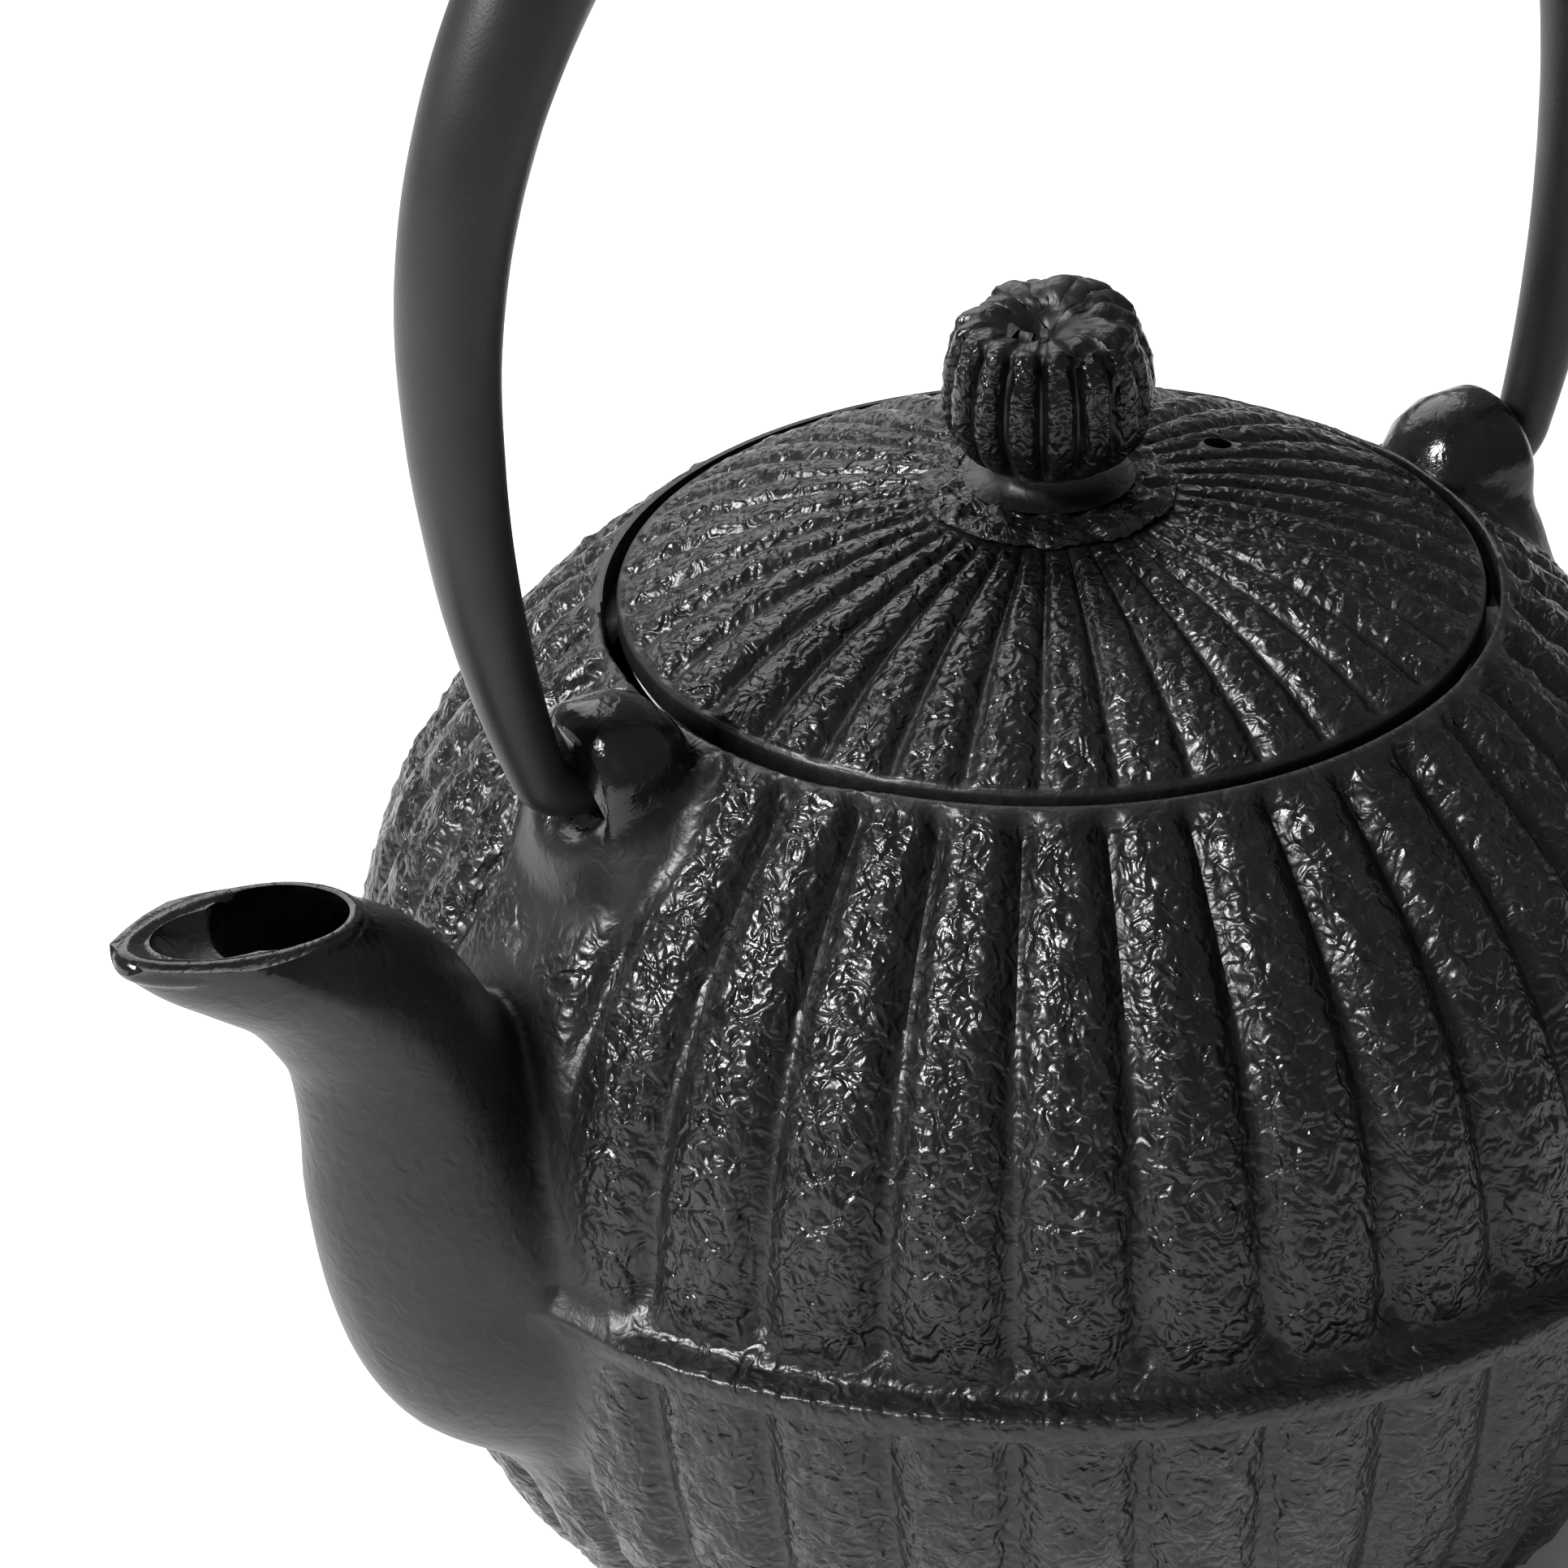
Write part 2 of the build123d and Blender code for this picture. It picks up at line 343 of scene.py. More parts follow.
def castingFinish(name, wrinkleSize=3.4, wrinkleDepth=1.0):
    # wrinkled black skin where the attribute "skin" is 1, plain cast where it is 0, glossy where "polish" is 1
    finish, tree, shader = newFinish(name, ironLook["dark"], 0.5)
    shader.inputs["Specular IOR Level"].default_value = 0.36
    coords = tree.nodes.new("ShaderNodeTexCoord")
    skin = tree.nodes.new("ShaderNodeAttribute")
    skin.attribute_name = "skin"
    polish = tree.nodes.new("ShaderNodeAttribute")
    polish.attribute_name = "polish"
    wrinkle = addNoise(tree, coords, wrinkleSize, 1.2, 0.5, 1.4)
    ridges = addMath(tree, "SUBTRACT", wrinkle, "Fac", 0.5)
    ridges = addMath(tree, "ABSOLUTE", ridges, "Value", 0.0)
    ridges = addRange(tree, ridges, "Value", 0.0, 0.2, 1.0, 0.0)
    pits = addNoise(tree, coords, 1.9, 1.2, 0.5, 0.9)
    grain = addNoise(tree, coords, 0.26, 2.0)
    cloud = addNoise(tree, coords, 9.0, 3.0)
    # colour: painted shade, darker in the pits of the bump relief and paler on its raised tops, broken up at random
    # by a cloud noise
    pitShade = addMath(tree, "MULTIPLY", pits, "Fac", cloud, "Fac")
    pitShade = addRange(tree, pitShade, "Value", 0.12, 0.4, 0.0, 1.0)
    color = addBlend(tree, pitShade, "Result", ironLook["dark"], ironLook["light"])
    link(tree, color, "Result", shader, "Base Color")
    # gloss
    skinRough = addRange(tree, pits, "Fac", 0.35, 0.65, *ironLook["skinRough"])
    rough = tree.nodes.new("ShaderNodeMix")
    rough.data_type = "FLOAT"
    rough.inputs["A"].default_value = ironLook["smoothRough"]
    link(tree, skin, "Fac", rough, "Factor")
    link(tree, skinRough, "Result", rough, "B")
    rougher = tree.nodes.new("ShaderNodeMix")
    rougher.data_type = "FLOAT"
    rougher.inputs["B"].default_value = ironLook["polishRough"]
    link(tree, polish, "Fac", rougher, "Factor")
    link(tree, rough, "Result", rougher, "A")
    link(tree, rougher, "Result", shader, "Roughness")
    # relief
    skinRidges = addMath(tree, "MULTIPLY", ridges, "Result", skin, "Fac")
    skinPits = addMath(tree, "MULTIPLY", pits, "Fac", skin, "Fac")
    bump = addBump(tree, grain, "Fac", 0.4, 0.07)
    bump = addBump(tree, pits, "Fac", 1.0, 0.13, bump)
    bump = addBump(tree, skinPits, "Value", 1.0, 0.62 * wrinkleDepth, bump)
    bump = addBump(tree, skinRidges, "Value", 1.0, 0.16 * wrinkleDepth, bump)
    link(tree, bump, "Normal", shader, "Normal")
    return finish


def satinFinish(name, color, roughness, grainSize):
    # smooth black iron with a fine grain and soft patches of wear
    finish, tree, shader = newFinish(name, color, roughness)
    shader.inputs["Specular IOR Level"].default_value = 0.3
    coords = tree.nodes.new("ShaderNodeTexCoord")
    grain = addNoise(tree, coords, grainSize, 3.0)
    patch = addNoise(tree, coords, 12, 3.0)
    tint = addBlend(tree, patch, "Fac", color, tuple(1.6 * c for c in color))
    link(tree, tint, "Result", shader, "Base Color")
    rough = addRange(tree, patch, "Fac", 0.3, 0.7, roughness - 0.07, roughness + 0.07)
    link(tree, rough, "Result", shader, "Roughness")
    bump = addBump(tree, grain, "Fac", 0.22, 0.14)
    link(tree, bump, "Normal", shader, "Normal")
    return finish


def steelFinish(name):
    # spun stainless steel: fine rings in the roughness
    finish, tree, shader = newFinish(name, (0.62, 0.62, 0.61), 0.3, 1.0)
    coords = tree.nodes.new("ShaderNodeTexCoord")
    stretch = tree.nodes.new("ShaderNodeMapping")
    stretch.inputs["Scale"].default_value = (0.05, 0.05, 1)
    link(tree, coords, "Object", stretch, "Vector")
    lines = tree.nodes.new("ShaderNodeTexNoise")
    lines.inputs["Scale"].default_value = 4000
    link(tree, stretch, "Vector", lines, "Vector")
    rough = addRange(tree, lines, "Fac", 0.3, 0.7, 0.22, 0.38)
    link(tree, rough, "Result", shader, "Roughness")
    return finish


def enamelFinish(name):
    # black glass-like coat with a slight orange peel
    finish, tree, shader = newFinish(name, (0.012, 0.012, 0.013), 0.14)
    coords = tree.nodes.new("ShaderNodeTexCoord")
    peel = addNoise(tree, coords, 3.0, 2.0)
    bump = addBump(tree, peel, "Fac", 0.3, 0.2)
    link(tree, bump, "Normal", shader, "Normal")
    rough = addRange(tree, peel, "Fac", 0.3, 0.7, 0.1, 0.2)
    link(tree, rough, "Result", shader, "Roughness")
    return finish


# the pot: a ribbed casting with its belt, spout and two lugs
pot = {
    "nodes": ("pot_floor", "pot_bowl", "pot_belt", "pot_shoulder", "spout", "lug_left", "lug_right"),
    "columns": ribCount * 16,
    "beltRadius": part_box("pot_belt")[1].y / mm - 0.05,
    "belt": (50.8, 53.4),
    "wall": 3.2,
    "shoulder": ((70.9, 54.6), (70.9, 76.0), (60.2, 89.0), (44.9, 101.0)),
    "bowl": ((44.0, 0.0), (65.6, 5.1), (70.8, 34.7), (71.6, 49.6)),
    "innerShoulder": ((67.7, 53.4), (67.7, 76.0), (58.2, 86.5), (49.6, 92.6)),
    "innerBowl": ((44.0, 3.2), (63.4, 7.3), (67.6, 34.7), (68.5, 50.8)),
    "mouth": (44.0, 97.6),
    "neck": (41.7, 92.6),
    "foot": (38.0, 1.6),
    "ribDepth": 2.0,
    "ribWidth": 1.25,  # degrees from a groove's middle to its edge
    "wrinkleDepth": 0.8,
}


def potOutline():
    low, high = pot["belt"]
    rim = pot["beltRadius"]
    footRadius, footHeight = pot["foot"]
    outline = [(0, footHeight), (footRadius - 0.6, footHeight), (footRadius, 0.5), (footRadius + 0.6, 0)]
    outline += curvePoints(*pot["bowl"], 44)
    outline += [(72.0, 50.5), (72.8, 50.85), (rim - 0.35, low), (rim, low + 0.35)]
    outline += [(rim, (low + high) / 2), (rim, high - 0.3), (rim - 0.3, high)]
    outline += [(73.2, high), (72.0, high + 0.15), (71.2, high + 0.5)]
    outline += curvePoints(*pot["shoulder"], 66)
    outline += [(44.6, 101.18), (44.2, 101.2), (42.0, 101.2), (0, 101.2)]
    return outline


def cavityOutline():
    radius, ledge = pot["mouth"]
    neckRadius, neckLow = pot["neck"]
    outline = [(0, pot["wall"])] + curvePoints(*pot["innerBowl"], 14) + curvePoints(*pot["innerShoulder"], 14)
    outline += [(neckRadius, neckLow), (neckRadius, ledge), (radius, ledge), (radius, 104), (0, 104)]
    return outline


spout = {
    "points": 72,
    "ridge": 0.22,
    # the middle's x and z, the heading in degrees above the horizontal, the half depth and the half width
    "stations": (
        (60.0, 27.0, 90, 7.0, 8.0),
        (63.5, 31.0, 90, 10.5, 11.0),
        (66.2, 36.0, 90, 12.8, 13.2),
        (68.3, 42.0, 90, 14.2, 14.8),
        (70.2, 49.0, 90, 14.6, 15.4),
        (71.7, 56.0, 89, 14.5, 14.8),
        (73.4, 63.0, 87, 13.6, 13.6),
        (75.1, 69.8, 83, 12.1, 12.2),
        (77.1, 75.9, 74, 10.8, 11.0),
        (79.6, 81.4, 63, 9.7, 10.4),
        (83.1, 85.8, 51, 8.8, 10.0),
        (87.6, 89.8, 45, 7.6, 9.6),
        (92.6, 93.3, 42, 7.2, 8.8),
        (97.6, 97.0, 40, 7.1, 7.4),
        (102.0, 101.2, 36, 7.0, 5.6),
    ),
    "lipBack": (82.0, 94.6),
    "lipFront": (106.3, 96.9),
    "beadRadius": 1.25,
    "beadSink": 0.9,
    "bead": (93.3, 11.6, 6.3, 0.16),  # its middle's x, half length, half width and how far it narrows to the tip
    "funnel": (94.2, 1.9, 8.4, 5.3, 4.2),  # its middle's x, its height over the lip and its three half sizes
    "bore": (
        (64.0, 44.0, 8.0), (70.5, 52.0, 9.0), (74.0, 64.0, 8.4), (76.2, 75.0, 6.6),
        (79.6, 83.6, 5.4), (84.6, 88.8, 5.5), (88.6, 94.2, 5.9),
        (92.6, 99.8, 5.9), (96.6, 105.4, 5.9),
    ),
}


def splineAt(rows, t):
    # a smooth row of values at t, which counts rows
    last = len(rows) - 1
    i = min(int(t), last - 1)
    u = t - i
    before, here, there, after = (rows[min(max(j, 0), last)] for j in (i - 1, i, i + 1, i + 2))
    return [
        0.5 * (2 * b + (c - a) * u + (2 * a - 5 * b + 4 * c - d) * u * u + (3 * b - a - 3 * c + d) * u ** 3)
        for a, b, c, d in zip(before, here, there, after)
    ]


def sweepTube(name, rows, steps, points, ridge=0.0):
    # a ring is extruded from station to station, each time turned and scaled about its own middle
    x, z, heading, depth, width = rows[0]
    deselectAll()
    bpy.ops.mesh.primitive_circle_add(vertices=points, radius=mm, fill_type="NGON")
    piece = bpy.context.object
    piece.name = piece.data.name = name
    for vertex in piece.data.vertices:
        along, across = vertex.co.x / mm, vertex.co.y / mm
        side = (1 - ridge) * abs(across) + ridge * (1 - abs(along))
        vertex.co.y = math.copysign(side, across) * mm if abs(across) > 1e-6 else 0.0
        vertex.co.x = -along * mm
    startEdit(piece)
    bpy.ops.mesh.select_all(action="SELECT")
    bpy.ops.transform.resize(value=(depth, width, 1), center_override=(0, 0, 0))
    bpy.ops.transform.translate(value=(x * mm, 0, z * mm))
    here = [x, z, 90.0, depth, width]
    turnRing(90.0, heading, here)
    here[2] = heading
    for i in range(1, steps + 1):
        there = splineAt(rows, (len(rows) - 1) * i / steps)
        move = Vector(((there[0] - here[0]) * mm, 0, (there[1] - here[1]) * mm))
        bpy.ops.mesh.extrude_region_move(TRANSFORM_OT_translate={"value": move})
        turnRing(here[2], there[2], there)
        scale = (there[3] / here[3], there[4] / here[4])
        middle = (there[0] * mm, 0, there[1] * mm)
        bpy.ops.transform.resize(value=(scale[0], scale[1], scale[0]), center_override=middle)
        here = there
    bpy.ops.mesh.select_all(action="SELECT")
    bpy.ops.mesh.remove_doubles(threshold=0.000001)
    bpy.ops.mesh.normals_make_consistent(inside=False)
    bpy.ops.object.mode_set(mode="OBJECT")
    return piece


def turnRing(oldHeading, newHeading, row):
    turn = math.radians(newHeading - oldHeading)
    if abs(turn) > 1e-6:
        middle = (row[0] * mm, 0, row[1] * mm)
        bpy.ops.transform.rotate(value=turn, orient_axis="Y", center_override=middle)


def lipHeight(x):
    back, front = spout["lipBack"], spout["lipFront"]
    return back[1] + (front[1] - back[1]) * (x - back[0]) / (front[0] - back[0])


def makeSpout():
    piece = sweepTube("spoutBlank", spout["stations"], 84, spout["points"], spout["ridge"])
    back, front = spout["lipBack"], spout["lipFront"]
    along = Vector((front[0] - back[0], 0, front[1] - back[1])).normalized()
    upwards = Vector((-along.z, 0, along.x))
    startEdit(piece)
    bpy.ops.mesh.select_all(action="SELECT")
    bpy.ops.mesh.bisect(
        plane_co=(front[0] * mm, 0, front[1] * mm), plane_no=upwards, use_fill=True,
        clear_outer=True, clear_inner=False,
    )
    bpy.ops.object.mode_set(mode="OBJECT")
    return piece


def makeLipBead():
    # a round bead that follows the egg-shaped edge of the spout's mouth
    back, front = spout["lipBack"], spout["lipFront"]
    tilt = math.atan2(front[1] - back[1], front[0] - back[0])
    count, radius = 120, spout["beadRadius"]
    deselectAll()
    bpy.ops.mesh.primitive_torus_add(
        major_segments=count, minor_segments=16, major_radius=0.01, minor_radius=radius * mm, location=(0, 0, 0)
    )
    piece = bpy.context.object
    piece.name = "lipBead"
    middle, half, width, taper = spout["bead"]
    for vertex in piece.data.vertices:
        turn = math.atan2(vertex.co.y, vertex.co.x)
        out = (math.hypot(vertex.co.x, vertex.co.y) - 0.01) / mm
        x = math.cos(turn) * half
        y = math.sin(turn) * width * (1 - taper * math.cos(turn))
        normal = Vector((math.cos(turn) / half, math.sin(turn) / width)).normalized()
        flat = Vector((x + normal.x * out, y + normal.y * out, vertex.co.z / mm))
        place = flat.x + middle
        rise = lipHeight(place) - spout["beadSink"] + flat.z
        vertex.co = Vector((place - math.sin(tilt) * flat.z, flat.y, rise)) * mm
    return piece


def makeFunnel():
    deselectAll()
    x, depth, halfLength, halfWidth, halfDepth = spout["funnel"]
    bpy.ops.mesh.primitive_uv_sphere_add(segments=72, ring_count=36, radius=mm)
    piece = bpy.context.object
    piece.name = "funnelBlank"
    startEdit(piece)
    bpy.ops.mesh.select_all(action="SELECT")
    bpy.ops.transform.resize(value=(halfLength, halfWidth, halfDepth), center_override=(0, 0, 0))
    bpy.ops.transform.translate(value=(x * mm, 0, (lipHeight(x) + depth) * mm))
    bpy.ops.object.mode_set(mode="OBJECT")
    return piece


def makeBore():
    rows = []
    points = spout["bore"]
    for i, (x, z, radius) in enumerate(points):
        ahead, behind = points[min(i + 1, len(points) - 1)], points[max(i - 1, 0)]
        heading = math.degrees(math.atan2(ahead[1] - behind[1], ahead[0] - behind[0]))
        rows.append((x, z, heading, radius, radius))
    return sweepTube("spoutBore", rows, 36, 48)


lug = {
    "axis": 97.9,
    "radius": 7.9,
    "front": 56.8,
    # going back from the front: the distance, the scale and the drop of each step
    "steps": ((6.4, 1.0, 0.0), (2.4, 0.94, 0.5), (2.2, 0.86, 1.3), (2.0, 0.75, 2.0)),
    "rounding": 2.3,
    "hole": (49.9, 3.7, 4.3),
    "mound": (51.0, 90.4, 8.8, 12.0, 8.4),
}


def makeLug(side):
    # a hood that stands up from the shoulder, drawn back and down towards the mouth
    deselectAll()
    bpy.ops.mesh.primitive_circle_add(
        vertices=72, radius=lug["radius"] * mm, fill_type="NGON", location=(lug["front"] * mm, 0, lug["axis"] * mm),
        rotation=(0, math.pi / 2, 0),
    )
    piece = bpy.context.object
    piece.name = "lugBlank"
    placeInMesh(piece)
    startEdit(piece)
    bpy.ops.mesh.select_all(action="SELECT")
    x, z = lug["front"], lug["axis"]
    for back, scale, drop in lug["steps"]:
        x, z = x - back, z - drop
        bpy.ops.mesh.extrude_region_move(TRANSFORM_OT_translate={"value": (-back * mm, 0, -drop * mm)})
        bpy.ops.transform.resize(value=(1, scale, scale), center_override=(x * mm, 0, z * mm))
    editFaces(piece, lambda face: len(face.vertices) == 72 and face.center.x > lug["front"] * mm - 0.0001)
    bpy.ops.mesh.bevel(offset=lug["rounding"] * mm, segments=7)
    bpy.ops.mesh.select_all(action="SELECT")
    if side < 0:
        bpy.ops.transform.resize(value=(-1, 1, 1), center_override=(0, 0, 0))
    bpy.ops.mesh.normals_make_consistent(inside=False)
    bpy.ops.object.mode_set(mode="OBJECT")
    return piece


def makeLugHole(side):
    inner, width, height = lug["hole"]
    deselectAll()
    bpy.ops.mesh.primitive_cylinder_add(
        vertices=64, radius=mm, depth=16 * mm, location=(side * (inner + 8) * mm, 0, lug["axis"] * mm),
        rotation=(0, math.pi / 2, 0),
    )
    piece = bpy.context.object
    piece.name = "lugHole"
    placeInMesh(piece)
    startEdit(piece)
    bpy.ops.mesh.select_all(action="SELECT")
    bpy.ops.transform.resize(value=(1, width, height), center_override=(0, 0, lug["axis"] * mm))
    bpy.ops.object.mode_set(mode="OBJECT")
    return piece


def makeMound(side):
    # the swelling that the lug stands on
    deselectAll()
    bpy.ops.mesh.primitive_uv_sphere_add(segments=64, ring_count=32, radius=mm)
    piece = bpy.context.object
    piece.name = "moundBlank"
    x, z, along, across, high = lug["mound"]
    startEdit(piece)
    bpy.ops.mesh.select_all(action="SELECT")
    bpy.ops.transform.resize(value=(along, across, high), center_override=(0, 0, 0))
    bpy.ops.transform.translate(value=(side * x * mm, 0, z * mm))
    bpy.ops.object.mode_set(mode="OBJECT")
    return piece


def grooveWeight(angle, offset, width, count=ribCount):
    pitch = 360 / count
    away = (angle - offset + pitch / 2) % pitch - pitch / 2
    return 0.52 * math.exp(-((away / width) ** 2)) + 0.48 * (0.5 + 0.5 * math.cos(2 * math.pi * away / pitch)) ** 2


def outerRadius():
    outline = curvePoints(*pot["bowl"], 60) + curvePoints(*pot["shoulder"], 60)

    def radiusAt(height):
        for (r0, z0), (r1, z1) in zip(outline, outline[1:]):
            if z0 <= height <= z1:
                return r0 + (r1 - r0) * (height - z0) / max(1e-6, z1 - z0)
        return outline[-1][0] if height > 90 else outline[0][0]

    return radiusAt


def ribMask(point, radiusAt):
    # 1 on the ribbed skin, fading to 0 at the belt, mouth, foot, lugs and spout
    reach = math.hypot(point.x, point.y)
    if reach < 44.5 or abs(reach - radiusAt(point.z)) > 0.9 + (2.0 if point.z > 90 else 0):
        return 0.0
    if abs(reach - radiusAt(point.z)) > 0.6 and point.z < 90:
        return 0.0
    mask = smoothStep(0.9, 4.0, abs(point.z - 52.1) - 1.3) * smoothStep(2.0, 7.0, point.z)
    mask *= smoothStep(44.6, 46.2, reach) if point.z > 90 else 1.0
    for side in (1, -1):
        away = math.hypot((point.x - side * 53) * 0.9, point.y * 0.8, (point.z - 94) * 0.55)
        mask *= smoothStep(8.0, 11.6, away)
    if point.x > 30:
        away = math.hypot(point.y / 17.5, (point.z - 50) / (31 if point.z > 50 else 24))
        mask *= smoothStep(0.96, 1.2, away)
    return mask


def makePot():
    casting = lathe("teapotCasting", potOutline(), pot["columns"])
    print("pot turned,", len(casting.data.polygons), "faces")
    combine(casting, makeSpout(), "UNION")
    combine(casting, makeLipBead(), "UNION")
    for side in (1, -1):
        combine(casting, makeMound(side), "UNION")
        combine(casting, makeLug(side), "UNION")
    combine(casting, lathe("cavity", cavityOutline(), 144), "DIFFERENCE")
    combine(casting, makeBore(), "DIFFERENCE")
    combine(casting, makeFunnel(), "DIFFERENCE")
    for side in (1, -1):
        combine(casting, makeLugHole(side), "DIFFERENCE")
    print("spout, lugs and cavity joined,", len(casting.data.polygons), "faces")
    fadeBelt(casting)
    softenJoints(casting)
    radiusAt = outerRadius()
    masks = [ribMask(v.co / mm, radiusAt) for v in casting.data.vertices]
    angles = [math.degrees(math.atan2(v.co.y, v.co.x)) for v in casting.data.vertices]
    grooves = [m * grooveWeight(a, 0, pot["ribWidth"]) for m, a in zip(masks, angles)]
    skins = [m * (1 - min(1, 1.15 * grooveWeight(a, 0, pot["ribWidth"]))) for m, a in zip(masks, angles)]
    for name, values in (("grooves", grooves), ("skin", skins)):
        weightGroup(casting, name, values)
    displace(casting, "grooves", -pot["ribDepth"])
    wrinkles = cloudTexture("castSkin", 1.9, 2, "BLENDER_ORIGINAL", 1.6)
    displace(casting, "skin", pot["wrinkleDepth"], wrinkles, 0.6)
    beside = [0.5 * beltMask(v.co / mm) for v in casting.data.vertices]
    rough = [m * (1 - 0.6 * grooveWeight(a, 0, pot["ribWidth"])) for m, a in zip(masks, angles)]
    casting.vertex_groups.clear()
    keepAttribute(casting, "skin", [max(r, b) for r, b in zip(rough, beside)])
    polish = [polishMask(v.co / mm) for v in casting.data.vertices]
    keepAttribute(casting, "polish", polish)
    smoothShade(casting, 50)
    casting.data.materials.clear()
    casting.data.materials.append(castingFinish("ribbedCastIron"))
    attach(casting, "pot")
    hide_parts(*pot["nodes"])
    print("casting finished,", len(casting.data.polygons), "faces")


def beltMask(point):
    # 1 on the belt and the plain bands beside it, 0 near the spout
    if math.hypot(point.x, point.y) < 70 or abs(point.z - 52.1) > 6:
        return 0.0
    return smoothStep(15, 24, abs(math.degrees(math.atan2(point.y, point.x))))


def fadeBelt(casting):
    # the belt sinks into the wall before it reaches the spout
    sunk = []
    for v in casting.data.vertices:
        p = v.co / mm
        onBelt = math.hypot(p.x, p.y) > 72.6 and abs(p.z - 52.1) < 2.6 and abs(p.y) > 12
        away = abs(math.degrees(math.atan2(p.y, p.x)))
        sunk.append(1 - smoothStep(13, 24, away) if onBelt else 0.0)
    weightGroup(casting, "sunk", sunk)
    displace(casting, "sunk", -1.7)
    casting.vertex_groups.clear()


def polishMask(point):
    # the lugs and the spout's lip are worn smooth and glossy
    glossy = 0.0
    for side in (1, -1):
        away = (point - Vector((side * 53, 0, 100))).length
        glossy = max(glossy, 1 - smoothStep(7.5, 11.0, away))
    if point.x > 78 and point.z > 92:
        glossy = max(glossy, 1 - smoothStep(1.2, 2.6, abs(point.z - lipHeight(point.x))))
    return glossy


def softenJoints(casting):
    # the creases where the spout and the lugs meet the shell become fillets
    startEdit(casting)
    bpy.ops.mesh.select_mode(type="EDGE")
    bpy.ops.mesh.select_all(action="DESELECT")
    bpy.ops.mesh.edges_select_sharp(sharpness=math.radians(18))
    bpy.ops.object.mode_set(mode="OBJECT")
    for edge in casting.data.edges:
        if edge.select:
            a, b = (casting.data.vertices[i].co / mm for i in edge.vertices)
            middle = (a + b) / 2
            edge.select = nearJoint(middle)
    chosen = set()
    for edge in casting.data.edges:
        if edge.select:
            chosen.update(edge.vertices)
    for vertex in casting.data.vertices:
        vertex.select = vertex.index in chosen
    for face in casting.data.polygons:
        face.select = False
    startEdit(casting)
    bpy.ops.mesh.select_mode(type="VERT")
    for repeat in (5, 3, 3):
        for _ in range(repeat):
            bpy.ops.mesh.select_more()
        bpy.ops.mesh.vertices_smooth(factor=0.5, repeat=8)
        for _ in range(max(0, repeat - 2)):
            bpy.ops.mesh.select_less()
    bpy.ops.object.mode_set(mode="OBJECT")


def nearJoint(point):
    reach = math.hypot(point.x, point.y)
    onSpout = point.x > 40 and abs(point.y) < 19 and 22 < point.z < 84 and reach > 62
    onLug = 84 < point.z < 95.5 and 46.5 < abs(point.x) < 62 and abs(point.y) < 12 and reach > 45.5
    return onSpout or onLug


def finishPiece(piece, finish, body, nodes, angle=40):
    smoothShade(piece, angle)
    piece.data.materials.clear()
    piece.data.materials.append(finish)
    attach(piece, body)
    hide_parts(*nodes)
    print(piece.name, "finished,", len(piece.data.polygons), "faces")


def weightGroup(piece, name, values):
    group = piece.vertex_groups.new(name=name)
    for i, value in enumerate(values):
        if value > 0:
            group.add([i], value, "REPLACE")


def makeLining():
    # a coat of enamel on the inner wall, from the floor up to the ledge
    coat = 0.5
    neckRadius, neckLow = pot["neck"]
    ledge = pot["mouth"][1]
    outer = [(0, pot["wall"])] + curvePoints(*pot["innerBowl"], 30) + curvePoints(*pot["innerShoulder"], 30)
    outer += [(neckRadius, neckLow), (neckRadius, ledge)]
    inner = [(neckRadius - coat, ledge), (neckRadius - coat, neckLow - coat)]
    inner += [(r - coat * 0.6, z - coat * 0.8) for r, z in reversed(curvePoints(*pot["innerShoulder"], 30))]
    inner += [(r - coat, z + coat * 0.5) for r, z in reversed(curvePoints(*pot["innerBowl"], 30))]
    inner += [(0, pot["wall"] + coat)]
    piece = lathe("innerEnamel", outer + inner, 144)
    combine(piece, makeBore(), "DIFFERENCE")
    finishPiece(piece, enamelFinish("blackEnamel"), "pot", ["enamel_lining"])


# the handle: one tapered rod bent into an arch, its ends turned in through the lugs
handle = {
    "archRadius": 67.35,
    "archHeight": 144.0,
    "legFoot": (60.3, 101.0),
    "bend": 4.6,
    "tip": 50.5,
    "thin": 5.6,
    "thick": 14.0,
    "taper": 1.85,
    "points": 40,
}


def handleRows():
    radius, height = handle["archRadius"], handle["archHeight"]
    footX, footZ = handle["legFoot"]
    lean = 2 * math.asin((radius - footX) / math.hypot(radius - footX, height - footZ))
    legRadius = (height - footZ) / math.sin(lean)
    legLength = legRadius * lean
    halfLength = legLength + radius * math.pi / 2
    bend = handle["bend"]
    middleX, middleZ = footX - bend * math.cos(lean), footZ + bend * math.sin(lean)
    rows = [(handle["tip"] + i, middleZ - bend, 0.0, handle["thin"] / 2) for i in range(5)]
    rows.append((middleX, middleZ - bend, 0.0, handle["thin"] / 2))
    for i in range(1, 12):
        turn = i / 12 * (math.pi / 2 - lean)
        rows.append((middleX + bend * math.sin(turn), middleZ - bend * math.cos(turn), math.degrees(turn), 2.8))
    count = 90
    for i in range(count + 1):
        length = halfLength * i / count
        if length < legLength:
            turn = lean - length / legRadius
            x, z = radius - legRadius * (1 - math.cos(turn)), height - legRadius * math.sin(turn)
            heading = 90 - math.degrees(turn)
        else:
            turn = (length - legLength) / radius
            x, z = radius * math.cos(turn), height + radius * math.sin(turn)
            heading = 90 + math.degrees(turn)
        left = max(0.0, 1 - length / halfLength)
        thickness = handle["thin"] + (handle["thick"] - handle["thin"]) * (1 - left ** handle["taper"])
        rows.append((x, z, heading, thickness / 2))
    mirrored = [(-x, z, 360 - heading, size) for x, z, heading, size in reversed(rows[:-1])]
    return [(x, z, heading, size, size) for x, z, heading, size in rows + mirrored]


